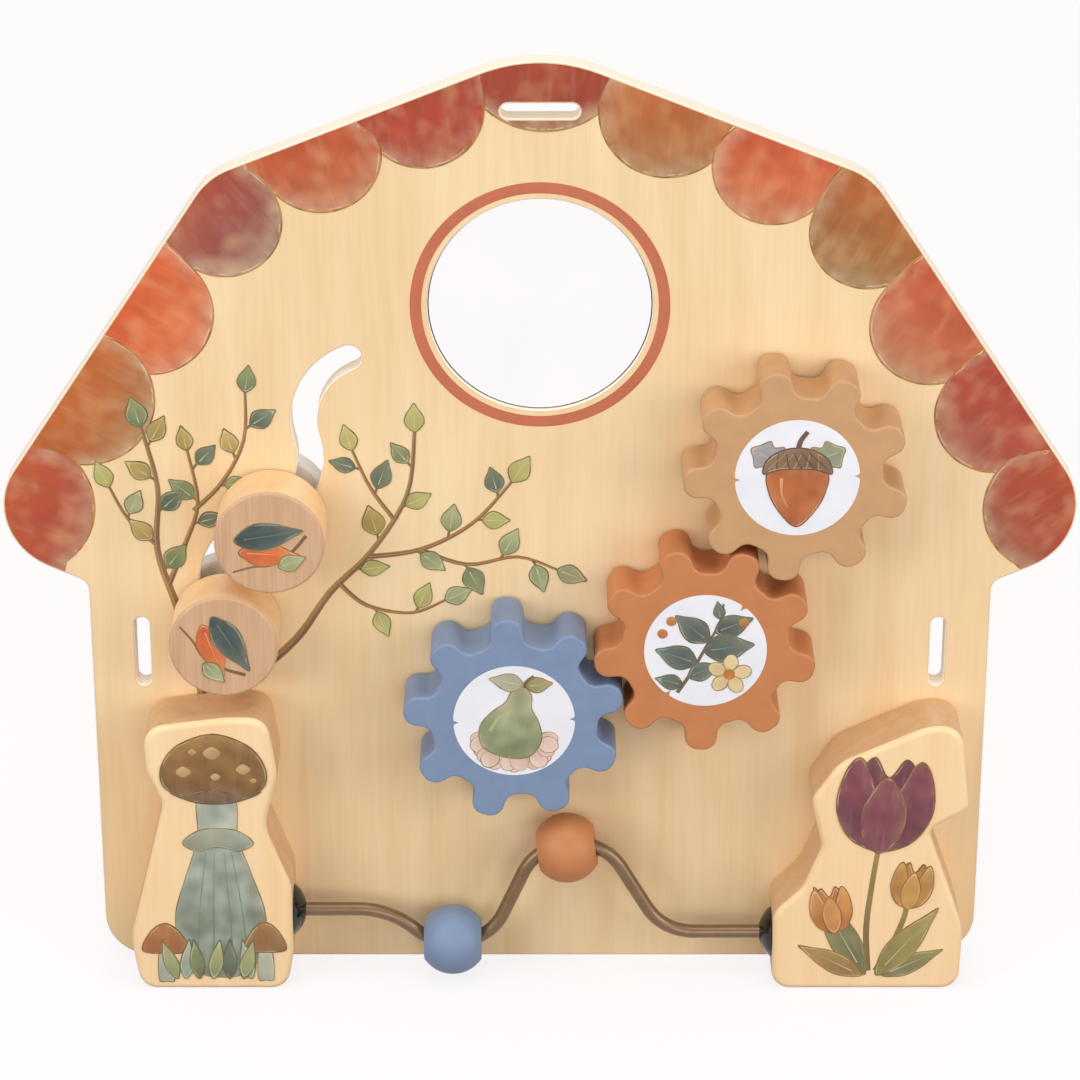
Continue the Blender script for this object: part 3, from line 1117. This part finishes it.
class PaintBranches(bpy.types.Operator):
    """Paint the leafy branches around the slider track."""

    bl_idname = "activity_panel.branches"
    bl_label = "Branch paint"

    def execute(self, context):
        low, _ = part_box("house_board")
        layer = PaintLayer(low.y)
        rng = Random(11)
        tones = (SAGE, OLIVE, SLATE, FERN, SLATE, OLIVE, OCHRE)
        # Each branch: its path in millimetres, where its leaves sit, how far they lean, and its two widths
        for path, shares, lean, width in (
            ([(-121, 100), (-124, 122), (-130, 144), (-136, 166), (-135, 190), (-140, 213)],
             (0.52, 0.62, 0.72, 0.82, 0.92), 48, (3.8, 1.3)),
            ([(-132.5, 152), (-126, 168), (-121, 184), (-124, 204)], (0.5, 0.68, 0.86), 50, (2.2, 1.1)),
            ([(-122.5, 181), (-112, 192), (-104, 208), (-103, 226)], (0.3, 0.52, 0.74), 48, (1.9, 1.0)),
            ([(-136.5, 168), (-146, 178), (-152, 190)], (0.5,), 50, (1.7, 1.0)),
            ([(-108, 112), (-88, 130), (-75, 149), (-60, 165), (-47, 187), (-44, 211)],
             (0.52, 0.64, 0.76, 0.88), 48, (3.4, 1.2)),
            ([(-61, 163), (-42, 166), (-24, 176), (-10, 192)], (0.3, 0.5, 0.7, 0.86), 50, (2.2, 1.1)),
            ([(-43, 166), (-26, 160), (-8, 163), (6, 158)], (0.32, 0.55, 0.78), 48, (1.9, 1.0)),
            ([(-72, 153), (-62, 144), (-46, 141), (-34, 146)], (0.4, 0.7), 48, (1.9, 1.0)),
            ([(-52, 178), (-60, 190), (-66, 204)], (0.4, 0.72), 50, (1.7, 1.0)),
        ):
            leaves = [(share, lean if i % 2 else -lean, rng.choice(tones)) for i, share in enumerate(shares)]
            leaves.append((1.0, 0, rng.choice(tones)))
            paint_sprig(layer, path, leaves, rng, width)
        layer.finish("branch_paint", "panel")
        return {"FINISHED"}


class MakeMirror(bpy.types.Operator):
    """Make the mirror and the painted ring around it."""

    bl_idname = "activity_panel.mirror"
    bl_label = "Mirror"

    def execute(self, context):
        look = context.scene.activity_panel.board
        rim_round = 0.15 * MM
        radius, front, back = round_size("mirror")
        middle = middle_of("mirror")
        shape = lathe(disc_profile(radius, front - middle.y, back - middle.y, rim_round), segments=160)
        mark_walls(shape, 1)
        finishes = ["acrylic_mirror_polished", "acrylic_mirror_sawn_rim"]
        add_piece("mirror_disc", shape, finishes, "panel", ["mirror"], middle)
        low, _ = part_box("house_board")
        front, back = low.y - PAINT_STEP, low.y + PAINT_BITE
        ring = [(front, look.ring_inner), (front, look.ring_outer)]
        ring += [(back, look.ring_outer), (back, look.ring_inner)]
        add_piece("mirror_ring_paint", lathe(ring, segments=180), ["ring_paint_screen_printed"], "panel",
                  place=(middle.x, 0, middle.z))
        return {"FINISHED"}


class MakeGears(bpy.types.Operator):
    """Make the three gears with their printed discs and rear caps."""

    bl_idname = "activity_panel.gears"
    bl_label = "Gears"

    def execute(self, context):
        look = context.scene.activity_panel.gears
        cap_round = 1.5 * MM
        # Each gear: the angles of a tooth and of a notch in its print, its motif, and the motif's enlargement
        for label, tooth_angle, notch_angle, motif, growth in (
            ("terracotta", 28.3, 52, flower_sprig, 1.22), ("tan", 303.6, 2, acorn, 1.2),
            ("blue", 14.3, 2, pear, 1.15),
        ):
            node = "gear_" + label
            body = node + "_wheel"
            place = joint_places[node + "_spin"]
            low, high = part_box(node)
            radius, peg_front, peg_back = round_size(node + "_peg")
            bore = radius + GAP
            teeth = [spun(point, tooth_angle, place.xz) for point in gear_outline(look)]
            shape = slab([
                (teeth, round_rims(-1, look.edge, low.y, high.y), "through"),
                (circle(place.xz, bore, 10), [(0, peg_front - GAP), (0, high.y)], "back"),
            ])
            finish = ["acrylic_paint_matt_" + label]
            add_piece("painted_" + node, shape, finish, body, [node])
            self.make_print(label, body, place.xz, low.y, look.print_radius, notch_angle)
            layer = PaintLayer(low.y - PAINT_STEP, place.xz, growth)
            motif(layer)
            layer.finish("motif_" + label, body)
            radius, front, back = round_size(node + "_rear_cap")
            cap = lathe(disc_profile(radius, front, back, cap_round, bore, peg_back + GAP))
            add_piece("turned_" + node + "_cap", cap, ["lime_wood_matt_lacquered"], body,
                      [node + "_rear_cap"], (place.x, 0, place.z))
        return {"FINISHED"}

    def make_print(self, label, body, center, y, radius, notch_angle):
        """Print the white disc with its two small register notches."""
        half_angle, fall = 2.2, 0.9 * MM  # of a notch, in degrees and per degree
        outline = []
        for angle in range(0, 360, 2):
            off = min(abs((angle - notch_angle - side + 180) % 360 - 180) for side in (0, 180))
            outline.append(polar(center, radius - max(0, half_angle - off) * fall, angle))
        shape = slab([(outline, [(0, y - PAINT_STEP), (0, y + PAINT_BITE)], "through")])
        add_piece("white_print_" + label, shape, ["screen_print_white"], body)


class MakeSliders(bpy.types.Operator):
    """Make the discs of the two sliders and paint their fronts."""

    bl_idname = "activity_panel.sliders"
    bl_label = "Sliders"

    def execute(self, context):
        edge = context.scene.activity_panel.wood.disc_edge
        for label, turn in (("upper", 0), ("lower", -68)):
            node = "slider_" + label
            body = node + "_knob"
            place = joint_places[node + "_spin"]
            radius, peg_front, peg_back = round_size(node + "_peg")
            bore = radius + GAP
            radius, front, back = round_size(node + "_disc")
            shape = lathe(disc_profile(radius, front, back, edge, bore, bore_back=peg_front - GAP))
            for face in shape.faces:
                if face.calc_center_median().y < front + 0.8 * edge:
                    face.material_index = 1
            finishes = ["lime_wood_matt_lacquered", "lime_wood_beige_wash"]
            add_piece("turned_" + node + "_front", shape, finishes, body, [node + "_disc"],
                      (place.x, 0, place.z))
            _, rear_front, rear_back = round_size(node + "_rear_disc")
            shape = lathe(disc_profile(radius, rear_front, rear_back, edge, bore, peg_back + GAP))
            add_piece("turned_" + node + "_back", shape, ["lime_wood_white_wash"], body,
                      [node + "_rear_disc"], (place.x, 0, place.z))
            layer = PaintLayer(front, place.xz)
            crossed_leaves(layer, turn)
            layer.finish("motif_slider_" + label, body)
        return {"FINISHED"}


class MakeFeet(bpy.types.Operator):
    """Make the two foot blocks and paint their fronts."""

    bl_idname = "activity_panel.feet"
    bl_label = "Foot blocks"

    def execute(self, context):
        edge = context.scene.activity_panel.wood.foot_edge
        for side, shares, motif in (("left", LEFT_FOOT_SHARES, mushrooms),
                                    ("right", RIGHT_FOOT_SHARES, tulips)):
            node = "foot_block_" + side
            low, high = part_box(node)
            front = low.y + MOTIF_DEPTH
            walls = [(foot_outline(shares, low, high), round_rims(-1, edge, front, high.y, 6), "through")]
            for screw in SCREWS:
                if screw.startswith(side):
                    hole = [(0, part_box("foot_screw_" + screw)[0].y - GAP), (0, high.y)]
                    walls.append((circle(middle_of("foot_screw_" + screw).xz, SCREW_HOLE, 15), hole, "back"))
            shape = slab(walls)
            mark_walls(shape, 1, 0.25)
            finishes = ["lime_wood_planed_face", "lime_wood_sanded_edge"]
            add_piece("shaped_" + node, shape, finishes, "panel", [node])
            layer = PaintLayer(front, low.xz)
            motif(layer)
            layer.finish("motif_foot_" + side, "panel")
        return {"FINISHED"}


class MakeWire(bpy.types.Operator):
    """Make the bent wire and the domed caps where it enters the feet."""

    bl_idname = "activity_panel.wire"
    bl_label = "Bent wire"

    def execute(self, context):
        look = context.scene.activity_panel.wire
        low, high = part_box("bead_wire")
        y = (low.y + high.y) / 2
        route = self.route(look, low.x, high.x)
        sides = 24
        turns = [2 * pi * k / sides for k in range(sides)]
        shape = bmesh.new()
        rings = []
        for i, (x, z) in enumerate(route):
            before, after = route[max(i - 1, 0)], route[min(i + 1, len(route) - 1)]
            along = Vector((after[0] - before[0], 0, after[1] - before[1])).normalized()
            up = Vector((-along.z, 0, along.x))
            rings.append([shape.verts.new(Vector((x, y, z)) + up * look.radius * cos(t)
                                          + Vector((0, look.radius * sin(t), 0))) for t in turns])
        for near, far in zip(rings, rings[1:]):
            for k in range(sides):
                shape.faces.new((near[k - 1], near[k], far[k], far[k - 1]))
        for end in (rings[0], rings[-1]):
            shape.faces.new(end)
        add_piece("bent_wire", shape, ["bronze_lacquer_dipped"], "panel", ["bead_wire"])
        for side, outward in (("left", 1), ("right", -1)):
            self.make_cap("wire_cap_" + side, outward, y, look.radius + GAP)
        return {"FINISHED"}

    def route(self, look, left_end, right_end):
        """Return the wire's centreline from the left foot to the right foot."""
        # The centres of its four bends
        entry, valley, crest, leave = in_metres(((-66.739, -2.4), (-32, 33.561), (12.3, 35), (56.6, 38.2)))

        def heading(first, second):
            """Return the angle from one centre to the next, and from there to where the straight starts."""
            dx, dz = second[0] - first[0], second[1] - first[1]
            return degrees(atan2(dz, dx)), degrees(acos(2 * look.bend / hypot(dx, dz)))

        entry_fall = degrees(atan2(valley[1] - entry[1], valley[0] - entry[0]))
        aim, opening = heading(valley, crest)
        rise = aim - opening
        aim, opening = heading(crest, leave)
        fall = aim + opening
        return [
            (left_end, entry[1] + look.entry_bend),
            *arc(entry, look.entry_bend, 90, entry_fall, 3),
            *arc(valley, look.bend, entry_fall + 180, rise + 360, 3)[1:],
            *arc(crest, look.bend, rise + 180, fall, 3),
            *arc(leave, look.bend, fall + 180, 270, 3),
            (right_end, leave[1] - look.bend),
        ]

    def make_cap(self, node, outward, y, hole):
        """Make a thin domed cap with a hole for the wire."""
        low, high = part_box(node)
        radius, height = (high.z - low.z) / 2, high.x - low.x
        dome = (radius ** 2 + height ** 2) / (2 * height)
        rim, mouth = asin(radius / dome), asin(hole / dome)
        turns = [rim + (mouth - rim) * i / 14 for i in range(15)]
        profile = [(outward * (dome * cos(a) - dome + height), dome * sin(a)) for a in turns]
        place = (low.x if outward > 0 else high.x, y, (low.z + high.z) / 2)
        shape = lathe([*profile, (0, hole)], "X", 64)
        finish = ["black_abs_gloss_moulded"]
        add_piece("domed_" + node, shape, finish, "panel", [node], place)


class MakeBeads(bpy.types.Operator):
    """Make the two beads on the wire."""

    bl_idname = "activity_panel.beads"
    bl_label = "Beads"

    def execute(self, context):
        radius, half, hole, mouth_round = 12.75 * MM, 10.5 * MM, 4.489 * MM, 0.8 * MM
        for name, tilt, colour in (("blue", 0, "blue"), ("orange", 8, "terracotta")):
            node = "bead_" + name
            spread = degrees(asin(half / radius))
            ball = [(radius * sin(radians(a)), radius * cos(radians(a))) for a in
                    [spread * (2 * i / 40 - 1) for i in range(41)]]
            mouths = [(half, hole, mouth_round), (-half, hole, mouth_round)]
            profile = ball + rounded([(*ball[-1], 0), *mouths, (*ball[0], 0)], 15)[1:-1]
            item = add_piece("round_" + node, lathe(profile, "X", 96), ["acrylic_paint_matt_" + colour],
                             name + "_bead", [node], middle_of(node))
            item.rotation_euler.y = -radians(tilt)
        return {"FINISHED"}


class MakeScrews(bpy.types.Operator):
    """Make the countersunk cross-head screws behind the feet."""

    bl_idname = "activity_panel.screws"
    bl_label = "Screws"

    def execute(self, context):
        shank, head, head_height = 2 * MM, 4 * MM, 2.4 * MM
        tip, bare, pitch = 3 * MM, 4 * MM, 1.2 * MM
        # A turn of the thread: how far along it, and the radius as a share of the shank's
        turn = ((0.1 * MM, 0.98), (0.6 * MM, 0.78), (1.1 * MM, 0.98))
        # The cross recess: half its length and width, its depth, and how far the cutter tapers and stands out
        arm, wide, depth, taper, proud = 2.1 * MM, 0.42 * MM, 1.6 * MM, 0.2 * MM, 0.4 * MM
        for i, screw in enumerate(SCREWS):
            node = "foot_screw_" + screw
            low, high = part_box(node)
            neck = high.y - head_height
            profile = [(low.y, 0), (low.y + tip, shank)]
            for y in np.arange(low.y + tip, neck - bare, pitch):
                profile += [(y + along, shank * share) for along, share in turn]
            profile += [(neck - 2 * MM, shank * 0.9), (neck, shank * 0.95)]
            profile += [(high.y - 0.3 * MM, head), (high.y, head), (high.y, 0)]
            shape = lathe(profile, segments=48)
            place = ((low.x + high.x) / 2, 0, (low.z + high.z) / 2)
            name = "cross_head_" + node
            item = add_piece(name, shape, ["zinc_plated_steel"], "panel", [node], place)
            corners = ((arm, -wide), (arm, wide), (wide, wide))
            cross = [spun(point, 90 * k + 20 + 37 * i) for k in range(4) for point in corners]
            levels = [(-taper, high.y - depth), (0, high.y + proud)]
            self.cut_recess(context, item, slab([(cross, levels, "through")]))
        return {"FINISHED"}

    def cut_recess(self, context, screw, shape):
        """Cut a shape out of a screw's head."""
        mesh = bpy.data.meshes.new("cross_cutter")
        bmesh.ops.recalc_face_normals(shape, faces=shape.faces)
        shape.to_mesh(mesh)
        shape.free()
        cutter = bpy.data.objects.new("cross_cutter", mesh)
        cutter.location = screw.location
        context.scene.collection.objects.link(cutter)
        cut = screw.modifiers.new("cross", "BOOLEAN")
        cut.operation = "DIFFERENCE"
        cut.solver = "EXACT"
        cut.object = cutter
        context.view_layer.update()
        made = bpy.data.meshes.new_from_object(screw.evaluated_get(context.evaluated_depsgraph_get()))
        screw.modifiers.clear()
        screw.data = made
        bpy.data.objects.remove(cutter)


def seen_directly(tree):
    """Return 1 for what the camera, a mirror or clear glass shows, and 0 for light that bounces."""
    rays = add_node(tree, "LightPath").outputs
    seen = rays["Is Camera Ray"]
    for kind in ("Is Glossy Ray", "Is Transmission Ray"):
        seen = add_node(tree, "Math", {0: seen, 1: rays[kind]}, operation="MAXIMUM").outputs[0]
    return seen


class MakeStage(bpy.types.Operator):
    """Make the pale floor, the soft lamps, the world and the camera."""

    bl_idname = "activity_panel.stage"
    bl_label = "Stage"

    def execute(self, context):
        scene = context.scene
        bpy.ops.mesh.primitive_plane_add(size=12)
        floor = context.object
        floor.name = "pale_floor"
        floor_glow, model_light, lens_length = 0.81, 0.43, 131
        # A grey floor that glows where it is seen: white to the eye, and it throws little light back up
        tree, shader = new_finish("pale_studio_floor", 0.9, Specular_IOR_Level=0.0)
        shader.inputs["Base Color"].default_value = srgb("7c7272")
        shader.inputs["Emission Color"].default_value = srgb("ffffff")
        glow = add_node(tree, "Math", {0: seen_directly(tree), 1: floor_glow}, operation="MULTIPLY")
        tree.links.new(glow.outputs[0], shader.inputs["Emission Strength"])
        floor.data.materials.append(bpy.data.materials["pale_studio_floor"])
        world = bpy.data.worlds.new("soft_studio")
        world.use_nodes = True
        tree = world.node_tree
        back = tree.nodes["Background"]
        back.inputs["Color"].default_value = srgb("ffffff")
        # The background is pure white where it is seen, and lights the model with less
        level = {0: seen_directly(tree), 1: 1 - model_light, 2: model_light}
        level = add_node(tree, "Math", level, operation="MULTIPLY_ADD")
        tree.links.new(level.outputs[0], back.inputs["Strength"])
        scene.world = world
        # Each lamp: its place, its width in metres and its power in watts
        for name, place, width, power in (
            ("left_lamp", (-0.8, -0.62, 0.5), 0.7, 5.1), ("right_lamp", (0.9, -0.62, 0.36), 0.6, 4.5),
            ("front_lamp", (0.3, -1.7, 0.4), 0.8, 5.6), ("top_lamp", (0.1, -0.2, 1.4), 0.8, 5.3),
            ("back_lamp", (0.0, 1.5, 1.1), 1.0, 7.0),
        ):
            lamp = bpy.data.lights.new(name, "AREA")
            lamp.size = width
            lamp.energy = power
            item = bpy.data.objects.new(name, lamp)
            item.location = place
            item.rotation_euler = (Vector((0, 0, 0.17)) - item.location).to_track_quat("-Z", "Y").to_euler()
            scene.collection.objects.link(item)
        scene.view_settings.view_transform = "Standard"
        # The photo's view: from above, down by 24.2 degrees, through a long lens
        camera = bpy.data.cameras.new("photo_camera")
        camera.sensor_width = 36
        camera.lens = lens_length
        item = bpy.data.objects.new("photo_camera", camera)
        item.location = (0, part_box("house_board")[0].y - 1.2727, 0.7415)
        item.rotation_euler = (radians(90 - 24.2), 0, 0)
        scene.collection.objects.link(item)
        scene.camera = item
        return {"FINISHED"}


OPERATORS = (
    MakeFinishes, MakeBoard, PaintRoof, PaintBranches, MakeMirror, MakeGears, MakeSliders, MakeFeet, MakeWire,
    MakeBeads, MakeScrews, MakeStage,
)


class ActivityPanelSidebar(bpy.types.Panel):
    """Lists the steps that make the panel."""

    bl_idname = "VIEW3D_PT_activity_panel"
    bl_label = "Activity panel"
    bl_space_type = "VIEW_3D"
    bl_region_type = "UI"
    bl_category = "Activity panel"

    def draw(self, context):
        for step in OPERATORS:
            self.layout.operator(step.bl_idname)


CLASSES = (BoardLook, GearLook, WoodLook, WireLook, PanelLook, *OPERATORS, ActivityPanelSidebar)


def register():
    """Register the classes and their settings."""
    for item in CLASSES:
        bpy.utils.register_class(item)
    bpy.types.Scene.activity_panel = PointerProperty(type=PanelLook)


def unregister():
    """Take the classes and their settings away."""
    del bpy.types.Scene.activity_panel
    for item in reversed(CLASSES):
        bpy.utils.unregister_class(item)


def main():
    """Make every piece in order and note the CAD model's and the visual model's boxes."""
    register()
    for step in OPERATORS:
        group, name = step.bl_idname.split(".")
        getattr(getattr(bpy.ops, group), name)()


if __name__ == "__main__":
    main()
